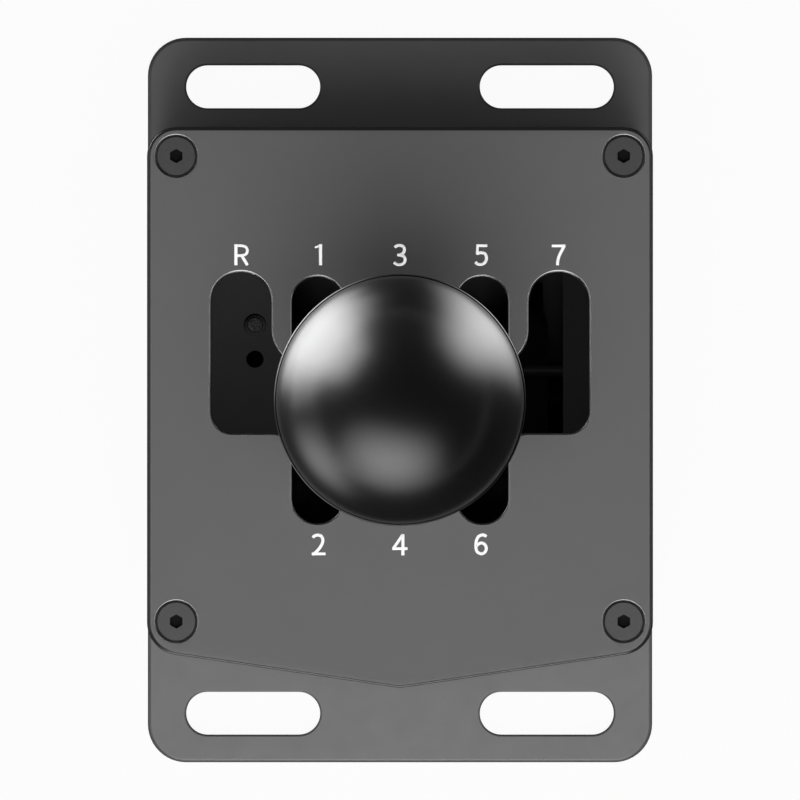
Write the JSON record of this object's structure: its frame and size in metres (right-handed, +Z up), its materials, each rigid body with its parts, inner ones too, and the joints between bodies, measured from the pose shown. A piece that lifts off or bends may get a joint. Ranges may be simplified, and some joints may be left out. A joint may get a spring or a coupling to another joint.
{
  "type": "sim racing gear shifter",
  "caption": "H-pattern gear shifter for sim racing: a ball knob lever in a gated box housing on a slotted mounting plate.",
  "frame": {"origin": "middle of the mounting plate's underside", "axes": "+Z up, +X to the driver's right, +Y away from the driver"},
  "size_m": [0.103, 0.148, 0.2014],
  "materials": {
    "powder_coated_steel": "fine matt black powder coat",
    "black_anodised": "dark grey anodised, satin",
    "black_steel": "blackened steel, satin",
    "bright_steel": "ground steel",
    "spring_steel": "drawn spring wire",
    "hard_anodised": "hard anodised, matt black",
    "bronze": "sintered bronze",
    "brass": "turned brass",
    "circuit_board": "black green solder mask",
    "black_moulding": "matt moulded plastic",
    "white_print": "white printing ink",
    "knob_black": "black, satin gloss"
  },
  "bodies": {
    "housing": {"mounting_plate": "powder_coated_steel", "left_side_plate": "black_anodised", "right_side_plate": "black_anodised", "front_cover": "black_anodised", "rear_cover": "black_anodised", "gate_plate": "black_anodised", "gate_screws": "black_steel", "base_screws": "black_steel", "cover_screws": "black_steel", "shelf_screws": "black_steel", "left_bearing_cap": "black_anodised", "right_bearing_cap": "black_anodised", "bearing_cap_screws": "black_steel", "bearing_outer_rings": "bright_steel", "bearing_balls": "bright_steel", "reverse_stop": "black_steel", "reverse_stop_screws": "bright_steel", "left_shelf": "black_anodised", "left_shelf_bolt": "bright_steel", "right_ledge": "black_anodised", "wire_post": "black_steel", "detent_housing": "hard_anodised", "detent_housing_screws": "black_steel", "detent_adjusters": "black_steel", "detent_spring_left": "spring_steel", "detent_spring_right": "spring_steel", "main_board": "circuit_board", "board_components": "black_moulding", "board_standoffs": "brass", "board_screws": "black_steel", "cable_socket": "black_moulding", "shift_sensor_board": "circuit_board"},
    "cradle": {"shift_cradle": "hard_anodised", "shift_shafts": "bright_steel", "bearing_inner_rings": "bright_steel", "shift_magnet": "bright_steel", "select_bushes": "bronze", "select_sensor_board": "circuit_board", "select_sensor_posts": "brass", "centring_spring_left": "spring_steel", "centring_spring_right": "spring_steel"},
    "lever": {"lever_hub": "bright_steel", "hub_clamp_screw": "black_steel", "select_pin": "bright_steel", "select_magnet": "bright_steel", "lever_core": "bright_steel", "retaining_pin": "bright_steel", "reverse_return_spring": "spring_steel"},
    "knob_and_sleeve": {"lever_sleeve": "bright_steel", "lockout_collar": "black_steel", "lock_nut": "black_steel", "knob_insert": "brass", "knob": "knob_black", "knob_cap": "knob_black"},
    "left_plunger": {"detent_plunger_left": "bright_steel"},
    "right_plunger": {"detent_plunger_right": "bright_steel"}
  },
  "joints": [
    {"name": "shift_tilt", "type": "hinge", "parent": "housing", "child": "cradle", "pos_m": [0, 0, 0.024], "axis": [1, 0, 0], "range_deg": [-14.6, 14.6]},
    {"name": "select_tilt", "type": "hinge", "parent": "cradle", "child": "lever", "pos_m": [0, 0, 0.024], "axis": [0, -1, 0], "range_deg": [-22.8, 12.2], "stiffness_Nm_per_rad": 1.2, "deforming": ["centring_spring_left", "centring_spring_right"]},
    {"name": "reverse_press", "type": "slide", "parent": "lever", "child": "knob_and_sleeve", "axis": [0, 0, -1], "range_m": [0, 0.008], "stiffness_N_per_m": 600, "springref_m": -0.008, "deforming": ["reverse_return_spring"]},
    {"name": "left_plunger_travel", "type": "slide", "parent": "housing", "child": "left_plunger", "axis": [0, -1, 0], "range_m": [0, 0.0016], "stiffness_N_per_m": 2000, "springref_m": 0.004, "deforming": ["detent_spring_left"]},
    {"name": "right_plunger_travel", "type": "slide", "parent": "housing", "child": "right_plunger", "axis": [0, -1, 0], "range_m": [0, 0.0016], "stiffness_N_per_m": 2000, "springref_m": 0.004, "deforming": ["detent_spring_right"]}
  ]
}
